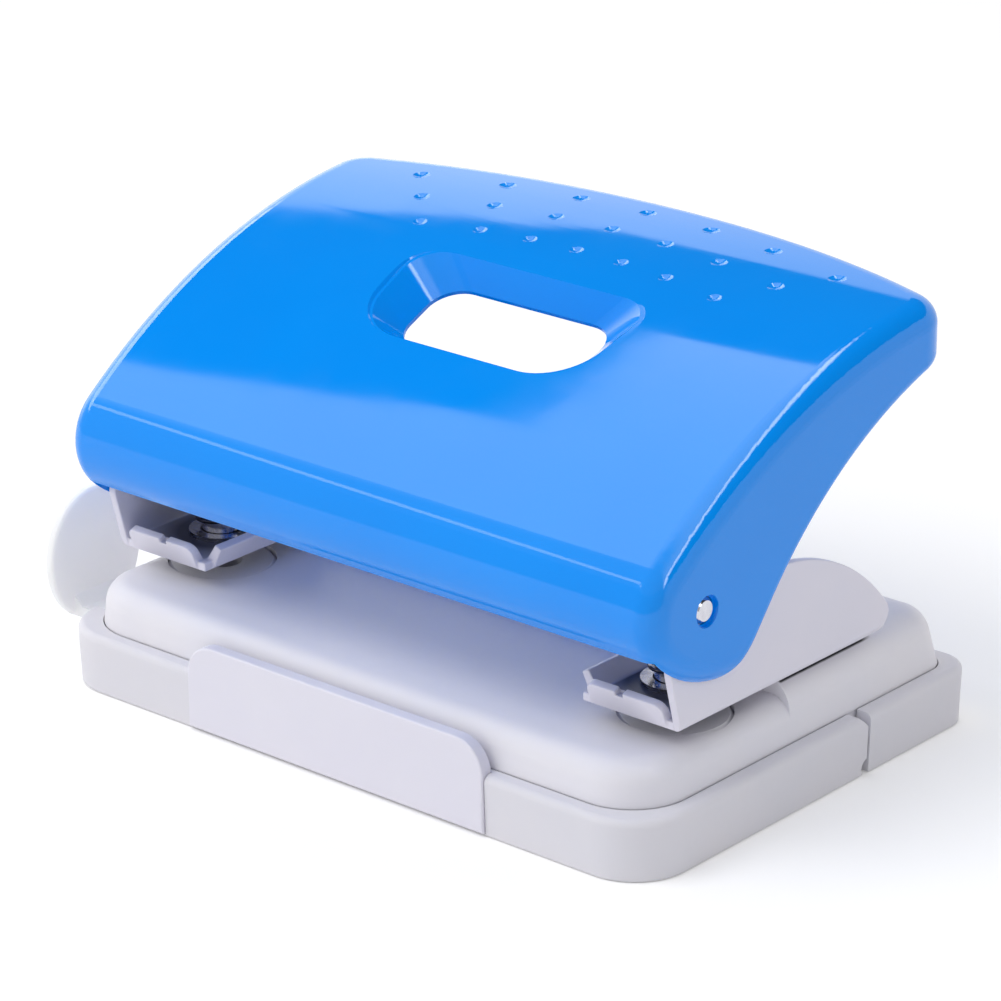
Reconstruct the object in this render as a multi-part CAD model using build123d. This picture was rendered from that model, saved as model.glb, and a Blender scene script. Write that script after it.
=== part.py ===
from build123d import *
import math
import os

# Two-hole punch, in millimetres. X runs from the left cutter to the right one, +Y to the back, +Z up.
# The origin is on the floor, under the middle of the base.

# Base and tray, overall
BASE_WIDTH = 103.6
BASE_DEPTH = 69.7
TRAY_HEIGHT = 8.3
TRAY_FLARE = 0.3
TRAY_WALL = 2.35
TRAY_FLOOR = 1.6
TRAY_FRONT_CORNER = 8.0
TRAY_REAR_CORNER = 4.0
TRAY_RIM_ROUND = 1.0
TRAY_REAR_DEPTH = 23.4
TRAY_SPLIT = 0.5
HINGE_GAP = 0.5
FLAP_CORNER_CUT = 1.6

# Upper base with the paper table in front and the raised deck behind
TABLE_RISE = 5.9
THROAT_GAP = 2.9
PAD_RISE = 0.6
PAD_DIAMETER = 8.0
PLINTH_INSET = 2.5
PLINTH_LEAN = 1.0
PLINTH_FRONT_CORNER = 8.5
PLINTH_REAR_CORNER = 4.0
DECK_REAR_CORNER = 6.0
TABLE_ROUND = 3.2
DECK_ROUND = 4.2
PLINTH_WALL = 1.5
PLINTH_CEILING = 2.2
PLINTH_FOOT = 3.0
SKIRT_STEP = 0.2
PAPER_MARGIN = 12.0

# Pivot, cutters and springs
PIVOT_SETBACK = 12.9
PIVOT_RISE = 16.2
PUNCH_END_SETBACK = 11.8
PUNCH_ARM = 7.9
PIN_DIAMETER = 5.4
PIN_TIP_LIFT = 0.3
PIN_TIP_DISH = 0.8
PIN_HEAD_CHAMFER = 0.4
GROOVE_DEPTH = 0.5
GUIDE_CLEARANCE = 0.08
PRESS_GAP = 0.1
CLIP_THICKNESS = 0.7
CLIP_DIAMETER = 8.6
CLIP_MOUTH = 3.2
CLIP_STOP_GAP = 0.1
SEAT_CLEARANCE = 0.05
WASHER_DIAMETER = 9.0
WASHER_THICKNESS = 0.6
WASHER_PLAY = 0.2
WIRE_DIAMETER = 0.65
COIL_DIAMETER = 6.5
COIL_TURNS = 3.75
DIE_DIAMETER = 15.0
DIE_THICKNESS = 2.6
DIE_SINK = 0.2
DIE_CLEARANCE = 0.1
DIE_RELIEF = 0.5
DIE_LAND = 1.2
DIE_CHAMFER = 0.5
CHIP_HOLE_DIAMETER = 11.0
DIE_BOSS_WALL = 1.8
DIE_BOSS_FLOOR = 1.8

# Folded steel brackets
SHEET = 1.2
BRACKET_END_SETBACK = 2.7
BRACKET_INNER_REACH = 6.8
BRACKET_FRONT_SETBACK = 10.6
BRACKET_BROW_SETBACK = 8.4
BRACKET_BROW_RISE = 8.4
BRACKET_LENGTH = 44.0
BRACKET_BEND = 1.0
BRACKET_TAIL = 2.2
BRACKET_TAIL_HEIGHT = 2.6
BRACKET_SHOULDER_REACH = 31.8
BRACKET_SHOULDER_RISE = 11.7
BRACKET_BACK_REACH = 19.3
BRACKET_BACK_RISE = 16.1
BRACKET_LOBE_RADIUS = 3.9
BRACKET_CORNER = 2.0
LIP_LENGTH = 3.6
LIP_LEAN = 22.0
LIP_OUTER_REACH = 6.8
LIP_INNER_REACH = 5.4
LIP_CORNER = 1.3
LIP_MARK_WIDTH = 1.2
LIP_MARK_DEPTH = 1.0
SIDE_LIP_LENGTH = 3.4
SIDE_LIP_LEAN = 26.0
SIDE_LIP_FRONT_CUT = 1.6
BRIDGE_RISE = 10.6
BRIDGE_LENGTH = 10.4
BRIDGE_REACH = 5.4

# Axle and its rings
AXLE_DIAMETER = 3.5
AXLE_SINK = 0.3
AXLE_CHAMFER = 0.4
AXLE_CLEARANCE = 0.06
AXLE_RING_THICKNESS = 0.8
AXLE_RING_DIAMETER = 6.4
AXLE_RING_MOUTH = 2.0
AXLE_RING_GAP = 0.1
AXLE_COUNTERBORE_DIAMETER = 4.3
AXLE_COUNTERBORE_DEPTH = 0.6

# Handle
HANDLE_END_SETBACK = 0.8
HANDLE_END_SPREAD = 0.9
HANDLE_WALL = 2.2
HANDLE_END_WALL = 1.8
HANDLE_FRONT_SETBACK = 2.5
HANDLE_NOSE_RISE = 0.5
HANDLE_NOSE_RADIUS = 8.49
HANDLE_ARC_RADIUS = 96.5
HANDLE_TOP_HEIGHT = 61.6
HANDLE_NOSE_TUCK = 45.0
HANDLE_LOBE_SETBACK = 15.9
HANDLE_LOBE_DROP = 11.1
HANDLE_LOBE_CHORD = 8.6
HANDLE_LOBE_KICK = 14.0
HANDLE_LIP_DROP = 4.9
HANDLE_EDGE_SLOPE = 52.0
HANDLE_EDGE_RUN = 5.0
HANDLE_REAR_DROP = 6.78
HANDLE_REAR_SETBACK = 71.05
HANDLE_REAR_RADIUS = 145.0
HANDLE_REAR_CORNER = 6.0
HANDLE_EDGE_ROUND = 3.4
HANDLE_HEM_ROUND = 1.6
RIB_RADIUS = 2.5
RIB_RISE = 3.0
RIB_LENGTH = 8.0
RIB_WEB = 2.4

# Handle window, on the slope: across and along
WINDOW_SETBACK = 32.65
WINDOW_REAR_HALF = 20.9
WINDOW_FRONT_HALF = 18.4
WINDOW_BACK = 9.8
WINDOW_FRONT = 9.2
WINDOW_REAR_CORNER = 5.2
WINDOW_FRONT_CORNER = 9.0
WINDOW_BEVEL = 0.4
FUNNEL_REAR_HALF = 15.2
FUNNEL_FRONT_HALF = 14.2
FUNNEL_BACK = 6.6
FUNNEL_FRONT = 6.3
FUNNEL_CORNER = 4.4
FUNNEL_DEPTH = 3.9
FUNNEL_SKIRT = 0.5
FUNNEL_WALL = 1.8

# Dimples in three bowed rows, rear row first
DIMPLE_SETBACKS = (64.3, 56.7, 49.2)
DIMPLE_SPREADS = ((11.3, 23.1, 36.1), (9.5, 19.5, 30.7), (7.9, 16.1, 25.5))
DIMPLE_BOW = 118.0
DIMPLE_DIAMETERS = (2.5, 2.3, 2.0)
DIMPLE_DEPTH = 0.3

# Front pull tab
TAB_WIDTH = 52.0
TAB_HEIGHT = 12.6
TAB_THICKNESS = 1.8
TAB_PROUD = 0.6
TAB_LIFT = 0.3
TAB_CORNER = 4.5
TAB_FIT = 0.1
TAB_ROUND = 0.3

# Paper guide
GUIDE_BAR_LIFT = 3.4
GUIDE_BAR_THICKNESS = 1.6
GUIDE_BAR_FRONT = 8.6
GUIDE_BAR_WIDTH = 7.4
GUIDE_BAR_END_SETBACK = 9.8
GUIDE_FACE_STANDOFF = 5.2
GUIDE_BEND = 3.0
PADDLE_THICKNESS = 1.5
PADDLE_ROUND = 0.4
PADDLE_SETBACK = 13.2
PADDLE_HALF_WIDTH = 8.5
PADDLE_HALF_HEIGHT = 9.7
PADDLE_RISE = 17.8
GUIDE_PLAY = 0.3
GUIDE_NOTCH_PLAY = 1.2
RAIL_WALL = 1.4
RAIL_END_SETBACK = 5.8

# Keepers under the guide bar, and the screws
KEEPER_END_SETBACKS = (15.3, 59.8)
KEEPER_LENGTH = 12.0
KEEPER_THICKNESS = 1.5
KEEPER_PLAY = 0.2
KEEPER_SCREW_SPREAD = 7.0
KEEPER_SCREW_SETBACK = 6.6
KEEPER_EDGE = 1.6
SCREW_DIAMETER = 2.9
SCREW_HEAD_DIAMETER = 5.2
SCREW_HEAD_HEIGHT = 1.7
SCREW_SLOT = 0.8
SCREW_SLOT_DEPTH = 0.7
SCREW_CLEARANCE = 0.05
SCREW_HOLE_PLAY = 0.15
BRACKET_SCREW_OFFSET = 1.0
BRACKET_SCREW_SETBACKS = (15.25, 6.25)
BRACKET_SCREW_PROUD = 0.5
SMALL_SCREW_DIAMETER = 2.0
SMALL_HEAD_DIAMETER = 3.4
SMALL_HEAD_HEIGHT = 1.0
SMALL_SCREW_LENGTH = 6.0
BOSS_WALL = 1.2
TRAY_SCREW_OFFSET = 4.0
TRAY_SCREW_SETBACK = 9.85
TRAY_SCREW_LENGTH = 8.0
TRAY_HEAD_SINK = 0.3

# One overrun for every cut
OVERRUN = 2.0

# Places worked out from the sizes above
END_X = BASE_WIDTH / 2
FRONT_Y = -BASE_DEPTH / 2
REAR_Y = BASE_DEPTH / 2
TABLE_HEIGHT = TRAY_HEIGHT + TABLE_RISE
DECK_HEIGHT = TABLE_HEIGHT + THROAT_GAP
DECK_TOP = DECK_HEIGHT - PAD_RISE
PIVOT_HEIGHT = DECK_HEIGHT + PIVOT_RISE
BRIDGE_HEIGHT = DECK_HEIGHT + BRIDGE_RISE
SPLIT_Y = REAR_Y - TRAY_REAR_DEPTH
HINGE_Z = TRAY_FLOOR / 2
PIVOT_Y = FRONT_Y + PIVOT_SETBACK
PUNCH_X = END_X - PUNCH_END_SETBACK
PUNCH_Y = PIVOT_Y + PUNCH_ARM
STOP_Y = PUNCH_Y + PAPER_MARGIN
PLATE_TOP = DECK_HEIGHT + SHEET
PIN_RADIUS = PIN_DIAMETER / 2
PIN_TIP = DECK_HEIGHT + PIN_TIP_LIFT
PIN_TOP = PIVOT_HEIGHT + RIB_RISE - RIB_RADIUS - PRESS_GAP
CLIP_TOP = BRIDGE_HEIGHT - CLIP_STOP_GAP
CLIP_BOTTOM = CLIP_TOP - CLIP_THICKNESS
SPRING_SEAT = PLATE_TOP + WASHER_THICKNESS
RIM_WIDTH = BASE_WIDTH + 2 * TRAY_FLARE
RIM_DEPTH = BASE_DEPTH + 2 * TRAY_FLARE
PLINTH_WIDTH = RIM_WIDTH - 2 * PLINTH_INSET
PLINTH_DEPTH = RIM_DEPTH - 2 * PLINTH_INSET
TABLE_CEILING = TABLE_HEIGHT - PLINTH_CEILING
DECK_CEILING = DECK_TOP - PLINTH_CEILING
TABLE_ROOT = TABLE_HEIGHT - PLINTH_CEILING / 2
DECK_ROOT = DECK_TOP - PLINTH_CEILING / 2
TRAY_GAP = PLINTH_INSET - TRAY_WALL
BRACKET_FACE = END_X - BRACKET_END_SETBACK
BRACKET_INNER_EDGE = PUNCH_X - BRACKET_INNER_REACH
BRACKET_WALL_INNER = BRACKET_FACE - SHEET
BRACKET_FRONT = FRONT_Y + BRACKET_FRONT_SETBACK
BRACKET_REAR = BRACKET_FRONT + BRACKET_LENGTH
BRACKET_SHOULDER_Y = PIVOT_Y + BRACKET_SHOULDER_REACH
BRACKET_BACK_Y = PIVOT_Y + BRACKET_BACK_REACH
BRACKET_SCREW_X = PUNCH_X + BRACKET_SCREW_OFFSET
BRACKET_SCREW_YS = [BRACKET_REAR - setback for setback in BRACKET_SCREW_SETBACKS]
LIP_OUTER_EDGE = PUNCH_X + LIP_OUTER_REACH
LIP_INNER_EDGE = PUNCH_X - LIP_INNER_REACH
HANDLE_FRONT_HALF = END_X - HANDLE_END_SETBACK
HANDLE_REAR_HALF = HANDLE_FRONT_HALF + HANDLE_END_SPREAD
HANDLE_TIP_Y = FRONT_Y + HANDLE_FRONT_SETBACK
HANDLE_NOSE_HEIGHT = PIVOT_HEIGHT + HANDLE_NOSE_RISE
HANDLE_ARC_Z = HANDLE_TOP_HEIGHT - HANDLE_ARC_RADIUS
HANDLE_LOBE_Y = FRONT_Y + HANDLE_LOBE_SETBACK
HANDLE_LOBE_HEIGHT = PIVOT_HEIGHT - HANDLE_LOBE_DROP
HANDLE_LIP_HEIGHT = PIVOT_HEIGHT - HANDLE_LIP_DROP
HANDLE_REAR_Y = FRONT_Y + HANDLE_REAR_SETBACK
WINDOW_Y = FRONT_Y + WINDOW_SETBACK
TRAY_SCREW_X = PUNCH_X - TRAY_SCREW_OFFSET
TRAY_SCREW_Y = REAR_Y - TRAY_SCREW_SETBACK
GUIDE_FACE = END_X + GUIDE_FACE_STANDOFF
GUIDE_BAR_END = END_X - GUIDE_BAR_END_SETBACK
GUIDE_BAR_BOTTOM = TRAY_FLOOR + GUIDE_BAR_LIFT
PADDLE_CENTRE_Y = FRONT_Y + PADDLE_SETBACK
PADDLE_CENTRE_Z = GUIDE_BAR_BOTTOM + PADDLE_RISE - PADDLE_HALF_HEIGHT
RAIL_END = END_X - RAIL_END_SETBACK
KEEPER_CENTRES = [setback - END_X for setback in KEEPER_END_SETBACKS]
GUIDE_BAR_Y = FRONT_Y + GUIDE_BAR_FRONT
GUIDE_BAR_BACK = GUIDE_BAR_Y + GUIDE_BAR_WIDTH
GUIDE_BAR_TOP = GUIDE_BAR_BOTTOM + GUIDE_BAR_THICKNESS
KEEPER_TOP = GUIDE_BAR_BOTTOM - KEEPER_PLAY
KEEPER_BOTTOM = KEEPER_TOP - KEEPER_THICKNESS
KEEPER_SCREW_Y = FRONT_Y + KEEPER_SCREW_SETBACK
SIDES = {"left": -1, "right": 1}


def polar(centre, radius, angle):
    """A point at an angle in degrees on a circle."""
    turn = math.radians(angle)
    return (centre[0] + radius * math.cos(turn), centre[1] + radius * math.sin(turn))


def round_arc(centre, radius, start, end):
    """An arc about a centre, between two angles in degrees."""
    middle = (start + end) / 2
    points = [polar(centre, radius, angle) for angle in (start, middle, end)]
    return ThreePointArc(*points)


def side_section(outline, start, length):
    """Extrude a closed outline of (y, z) points or edges along +X from start."""
    return across_extrude(make_face(outline), start, length)


def across_extrude(face, start, length):
    """Extrude a face drawn in (y, z) along +X from start."""
    return extrude(Plane.YZ.offset(start) * face, amount=length, dir=(1, 0, 0))


def front_section(points, start, length):
    """Extrude a closed outline of (x, z) points along +Y from start."""
    face = make_face(Polyline(*points, close=True))
    return extrude(Plane.XZ.offset(-start) * face, amount=length, dir=(0, 1, 0))


def block(x, y, z):
    """A box from three (low, high) pairs."""
    size = [high - low for low, high in (x, y, z)]
    middle = [(low + high) / 2 for low, high in (x, y, z)]
    return Pos(*middle) * Box(*size)


def mirrored_pair(low, high, sign):
    """A (low, high) pair of X places, on the side that the sign gives."""
    return (low, high) if sign > 0 else (-high, -low)


def upright(radius, x, y, low, high):
    """A cylinder along Z."""
    return Pos(x, y, (low + high) / 2) * Cylinder(radius, high - low)


def across(radius, y, z, low, high):
    """A cylinder along X."""
    return Pos((low + high) / 2, y, z) * Rot(0, 90, 0) * Cylinder(radius, high - low)


def plan(width, depth, front_corner, rear_corner, height):
    """A rectangle in plan with its own front and rear corner radii."""
    shape = Rectangle(width, depth)
    shape = fillet(shape.vertices().group_by(Axis.Y)[0], front_corner)
    shape = fillet(shape.vertices().group_by(Axis.Y)[-1], rear_corner)
    return Pos(0, 0, height) * shape


def tapered(lower, upper):
    """A ruled solid between two plans."""
    return loft([lower.face(), upper.face()], ruled=True)


def tray_whole():
    """The open tray, before it is split into flap and rear part."""
    foot = plan(BASE_WIDTH, BASE_DEPTH, TRAY_FRONT_CORNER, TRAY_REAR_CORNER, 0)
    rim_corners = (TRAY_FRONT_CORNER + TRAY_FLARE, TRAY_REAR_CORNER + TRAY_FLARE)
    outer = tapered(foot, plan(RIM_WIDTH, RIM_DEPTH, *rim_corners, TRAY_HEIGHT))
    outer = fillet(outer.edges().group_by(Axis.Z)[-1], TRAY_RIM_ROUND)
    lean_at_floor = TRAY_FLARE * TRAY_FLOOR / TRAY_HEIGHT
    lean_at_top = TRAY_FLARE * (TRAY_HEIGHT + OVERRUN) / TRAY_HEIGHT
    levels = []
    for height, lean in ((TRAY_FLOOR, lean_at_floor), (TRAY_HEIGHT + OVERRUN, lean_at_top)):
        inset = 2 * (TRAY_WALL - lean)
        corners = [corner + TRAY_GAP for corner in (PLINTH_FRONT_CORNER, PLINTH_REAR_CORNER)]
        levels.append(plan(BASE_WIDTH - inset, BASE_DEPTH - inset, *corners, height))
    return outer - tapered(*levels)


def half_space(front, back):
    """A block over the whole base between two Y places."""
    reach = BASE_WIDTH
    return block((-reach, reach), (front, back), (-OVERRUN, TRAY_HEIGHT + OVERRUN))


def tab_outline(grow):
    """The pull tab's front outline, grown all round."""
    width = TAB_WIDTH / 2 + grow
    low = TAB_LIFT - grow
    high = TAB_HEIGHT + grow
    shape = Polyline((-width, low), (width, low), (width, high), (-width, high), close=True)
    face = make_face(shape)
    return fillet(face.vertices().group_by(Axis.Y)[-1], TAB_CORNER)


def tab_solid(grow, front, back):
    """The pull tab's outline made solid between two Y places."""
    return extrude(Plane.XZ.offset(-front) * tab_outline(grow), amount=back - front, dir=(0, 1, 0))


def front_tab():
    front = FRONT_Y - TAB_PROUD
    tab = tab_solid(0, front, front + TAB_THICKNESS)
    return fillet(tab.faces().sort_by(Axis.Y)[0].edges(), TAB_ROUND)


def tray_flap():
    """The front of the tray, which swings down on its rear edge."""
    flap = tray_whole() - half_space(SPLIT_Y - TRAY_SPLIT / 2, BASE_DEPTH)
    reach = BASE_WIDTH
    flap -= across(HINGE_Z + HINGE_GAP, SPLIT_Y, HINGE_Z, -reach, reach)
    tab_front = FRONT_Y - TAB_PROUD
    flap -= tab_solid(TAB_FIT, tab_front, tab_front + TAB_THICKNESS + TAB_FIT)
    notch_y = (GUIDE_BAR_Y - GUIDE_NOTCH_PLAY, GUIDE_BAR_BACK + GUIDE_NOTCH_PLAY)
    notch_z = (GUIDE_BAR_BOTTOM - GUIDE_NOTCH_PLAY, TRAY_HEIGHT + OVERRUN)
    flap -= block((-reach, -BASE_WIDTH / 2 + 2 * TRAY_WALL), notch_y, notch_z)
    corner_y = SPLIT_Y - TRAY_SPLIT / 2
    corner = Polyline(
        (corner_y - FLAP_CORNER_CUT, TRAY_HEIGHT + OVERRUN),
        (corner_y - FLAP_CORNER_CUT, TRAY_HEIGHT),
        (corner_y, TRAY_HEIGHT - FLAP_CORNER_CUT),
        (corner_y + OVERRUN, TRAY_HEIGHT - FLAP_CORNER_CUT),
        (corner_y + OVERRUN, TRAY_HEIGHT + OVERRUN),
        close=True,
    )
    return flap - side_section(corner, -reach, 2 * reach)


def tray_rear():
    """The fixed rear of the tray, with the round bead that the flap turns about."""
    rear = tray_whole() - half_space(-BASE_DEPTH, SPLIT_Y + TRAY_SPLIT / 2)
    bead = BASE_WIDTH / 2 - TRAY_WALL
    rear += across(HINGE_Z, SPLIT_Y, HINGE_Z, -bead, bead)
    rear += block((-bead, bead), (SPLIT_Y, SPLIT_Y + TRAY_SPLIT), (0, TRAY_FLOOR))
    for sign in SIDES.values():
        x = sign * TRAY_SCREW_X
        hole = SMALL_SCREW_DIAMETER / 2 + SCREW_HOLE_PLAY
        rear -= upright(hole, x, TRAY_SCREW_Y, -OVERRUN, TRAY_FLOOR + OVERRUN)
        head = SMALL_HEAD_DIAMETER / 2 + SCREW_HOLE_PLAY
        rear -= upright(head, x, TRAY_SCREW_Y, -OVERRUN, TRAY_HEAD_SINK + SMALL_HEAD_HEIGHT)
    return rear


def plinth_block(top, rounding):
    """The outside of the upper base, up to a height, with its top edge rounded."""
    share = (top - TRAY_HEIGHT) / (DECK_HEIGHT - TRAY_HEIGHT)
    lean = PLINTH_LEAN * share
    rear = PLINTH_REAR_CORNER + (DECK_REAR_CORNER - PLINTH_REAR_CORNER) * share
    body = tapered(plinth_plan(0, PLINTH_REAR_CORNER, TRAY_HEIGHT), plinth_plan(lean, rear, top))
    return fillet(body.edges().group_by(Axis.Z)[-1], rounding)


def plinth_plan(inset, rear_corner, height):
    """The upper base from above, set in all round."""
    front_corner = PLINTH_FRONT_CORNER - inset
    return plan(PLINTH_WIDTH - 2 * inset, PLINTH_DEPTH - 2 * inset, front_corner, rear_corner, height)


def plinth_shell():
    """The upper base as a hollow shell: table, deck and the skirt inside the tray."""
    reach = BASE_WIDTH
    before_stop = block((-reach, reach), (-BASE_DEPTH, STOP_Y), (0, DECK_HEIGHT + OVERRUN))
    behind_stop = block((-reach, reach), (STOP_Y, BASE_DEPTH), (0, DECK_HEIGHT + OVERRUN))
    table = plinth_block(TABLE_HEIGHT, TABLE_ROUND) & before_stop
    deck = plinth_block(DECK_TOP, DECK_ROUND) & behind_stop
    skirt_plan = plinth_plan(SKIRT_STEP, PLINTH_REAR_CORNER - SKIRT_STEP, PLINTH_FOOT)
    skirt = extrude(skirt_plan, amount=TRAY_HEIGHT - PLINTH_FOOT)
    shell = table + deck + skirt
    hollow_plan = plinth_plan(PLINTH_WALL + PLINTH_LEAN, DECK_REAR_CORNER, PLINTH_FOOT - OVERRUN)
    shell -= extrude(hollow_plan, amount=TABLE_CEILING - PLINTH_FOOT + OVERRUN)
    deep = extrude(hollow_plan, amount=DECK_CEILING - PLINTH_FOOT + OVERRUN)
    return shell - (deep & block((-reach, reach), (STOP_Y + PLINTH_WALL, BASE_DEPTH), (0, DECK_HEIGHT)))


def base_body():
    """The upper base with die seats, guide rails, bosses, bracket pads and holes."""
    body = plinth_shell() + guide_rails()
    pilot = SMALL_SCREW_DIAMETER / 2 + SCREW_CLEARANCE
    for x, y in keeper_screw_places():
        body += upright(pilot + BOSS_WALL, x, y, KEEPER_TOP, TABLE_ROOT)
    seat_floor = TABLE_HEIGHT - DIE_SINK - DIE_THICKNESS
    for sign in SIDES.values():
        x = sign * PUNCH_X
        boss = upright(DIE_DIAMETER / 2 + DIE_BOSS_WALL, x, PUNCH_Y, seat_floor - DIE_BOSS_FLOOR, TABLE_ROOT)
        body += boss & plinth_block(TABLE_HEIGHT, TABLE_ROUND)
        body -= upright(DIE_DIAMETER / 2 + SEAT_CLEARANCE, x, PUNCH_Y, seat_floor, TABLE_HEIGHT + OVERRUN)
        body -= upright(CHIP_HOLE_DIAMETER / 2, x, PUNCH_Y, seat_floor - DIE_BOSS_FLOOR, TABLE_HEIGHT)
        for y in BRACKET_SCREW_YS:
            body += upright(PAD_DIAMETER / 2, sign * BRACKET_SCREW_X, y, DECK_ROOT, DECK_HEIGHT)
            hole = SCREW_DIAMETER / 2 + SCREW_HOLE_PLAY
            body -= upright(hole, sign * BRACKET_SCREW_X, y, DECK_CEILING - OVERRUN, DECK_HEIGHT + OVERRUN)
        boss = pilot + BOSS_WALL
        body += upright(boss, sign * TRAY_SCREW_X, TRAY_SCREW_Y, TRAY_FLOOR, DECK_ROOT)
        depth = TRAY_HEAD_SINK + TRAY_SCREW_LENGTH + OVERRUN
        body -= upright(pilot, sign * TRAY_SCREW_X, TRAY_SCREW_Y, 0, depth)
    notch_y = (GUIDE_BAR_Y - GUIDE_PLAY, GUIDE_BAR_BACK + GUIDE_PLAY)
    body -= block((-BASE_WIDTH, RAIL_END), notch_y, (0, GUIDE_BAR_TOP + GUIDE_PLAY))
    for x, y in keeper_screw_places():
        body -= upright(pilot, x, y, KEEPER_TOP - OVERRUN, KEEPER_BOTTOM + SMALL_SCREW_LENGTH + OVERRUN / 2)
    return body


def guide_rails():
    """Ribs under the table: one over the guide bar and one along its rear edge."""
    low_x = -PLINTH_WIDTH / 2 + PLINTH_WALL
    back = GUIDE_BAR_BACK + GUIDE_PLAY
    rear_rib = block((low_x, RAIL_END), (back, back + RAIL_WALL), (GUIDE_BAR_BOTTOM, TABLE_ROOT))
    middle = (GUIDE_BAR_Y + GUIDE_BAR_BACK) / 2
    top_rib_y = (middle - RAIL_WALL / 2, middle + RAIL_WALL / 2)
    return rear_rib + block((low_x, RAIL_END), top_rib_y, (GUIDE_BAR_TOP, TABLE_ROOT))


def keeper_screw_places():
    """Where the keeper screws stand."""
    places = []
    for centre in KEEPER_CENTRES:
        for sign in SIDES.values():
            places.append((centre + sign * KEEPER_SCREW_SPREAD / 2, KEEPER_SCREW_Y))
    return places


def guide_keepers():
    """Two plates screwed under the guide bar."""
    plates = []
    for centre in KEEPER_CENTRES:
        x = (centre - KEEPER_LENGTH / 2, centre + KEEPER_LENGTH / 2)
        y = (KEEPER_SCREW_Y - KEEPER_EDGE, GUIDE_BAR_BACK)
        plate = block(x, y, (KEEPER_BOTTOM, KEEPER_TOP))
        plate = fillet(plate.edges().filter_by(Axis.Z), KEEPER_EDGE / 2)
        plates.append(plate)
    hole = SMALL_SCREW_DIAMETER / 2 + SCREW_HOLE_PLAY
    for index, (x, y) in enumerate(keeper_screw_places()):
        plates[index // 2] -= upright(hole, x, y, KEEPER_BOTTOM - OVERRUN, KEEPER_TOP + OVERRUN)
    return Compound(children=plates)


def screw(radius, head_radius, head_height, length):
    """A slotted screw standing on its head, with the head's bottom at zero."""
    body = upright(head_radius, 0, 0, 0, head_height) + upright(radius, 0, 0, 0, head_height + length)
    body = chamfer(body.edges().filter_by(GeomType.CIRCLE).sort_by(Axis.Z)[0], SCREW_SLOT_DEPTH / 2)
    slot = block((-head_radius, head_radius), (-SCREW_SLOT / 2, SCREW_SLOT / 2), (-OVERRUN, SCREW_SLOT_DEPTH))
    return body - slot


def keeper_screws():
    shank = screw(SMALL_SCREW_DIAMETER / 2, SMALL_HEAD_DIAMETER / 2, SMALL_HEAD_HEIGHT, SMALL_SCREW_LENGTH)
    height = KEEPER_BOTTOM - SMALL_HEAD_HEIGHT
    return Compound(children=[Pos(x, y, height) * shank for x, y in keeper_screw_places()])


def tray_screws():
    shank = screw(SMALL_SCREW_DIAMETER / 2, SMALL_HEAD_DIAMETER / 2, SMALL_HEAD_HEIGHT, TRAY_SCREW_LENGTH)
    places = [sign * TRAY_SCREW_X for sign in SIDES.values()]
    return Compound(children=[Pos(x, TRAY_SCREW_Y, TRAY_HEAD_SINK) * shank for x in places])


def bracket_screws():
    length = PLINTH_CEILING + PAD_RISE + SHEET + BRACKET_SCREW_PROUD
    shank = screw(SCREW_DIAMETER / 2, SCREW_HEAD_DIAMETER / 2, SCREW_HEAD_HEIGHT, length)
    height = DECK_CEILING - SCREW_HEAD_HEIGHT
    screws = []
    for sign in SIDES.values():
        for y in BRACKET_SCREW_YS:
            screws.append(Pos(sign * BRACKET_SCREW_X, y, height) * shank)
    return Compound(children=screws)


def bracket_wall(sign):
    """The bracket's upright outer plate, from the deck up to the pivot."""
    lobe = (PIVOT_Y, PIVOT_HEIGHT)
    heel = (BRACKET_REAR, DECK_HEIGHT + BRACKET_TAIL_HEIGHT)
    back = (BRACKET_BACK_Y, DECK_HEIGHT + BRACKET_BACK_RISE)
    shoulder = (BRACKET_SHOULDER_Y, DECK_HEIGHT + BRACKET_SHOULDER_RISE)
    foot = Polyline(
        (PIVOT_Y - BRACKET_LOBE_RADIUS, PIVOT_HEIGHT),
        (FRONT_Y + BRACKET_BROW_SETBACK, DECK_HEIGHT + BRACKET_BROW_RISE),
        (BRACKET_FRONT, DECK_HEIGHT),
        (BRACKET_REAR - BRACKET_TAIL, DECK_HEIGHT),
        heel,
    )
    lobe_top = (PIVOT_Y, PIVOT_HEIGHT + BRACKET_LOBE_RADIUS)
    crown = Polyline(back, lobe_top, (PIVOT_Y - BRACKET_LOBE_RADIUS, PIVOT_HEIGHT))
    face = make_face([foot, ThreePointArc(heel, shoulder, back), crown])
    face = fillet(face.vertices().sort_by(Axis.X)[-1], BRACKET_CORNER)
    brow_height = DECK_HEIGHT + BRACKET_BROW_RISE
    brow = [point for point in face.vertices() if abs(point.Y - brow_height) < SEAT_CLEARANCE]
    face = fillet(brow, BRACKET_CORNER)
    start, end = mirrored_pair(BRACKET_WALL_INNER, BRACKET_FACE, sign)
    wall = across_extrude(face, start, end - start)
    return wall + across(BRACKET_LOBE_RADIUS, *lobe, start, end)


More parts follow.
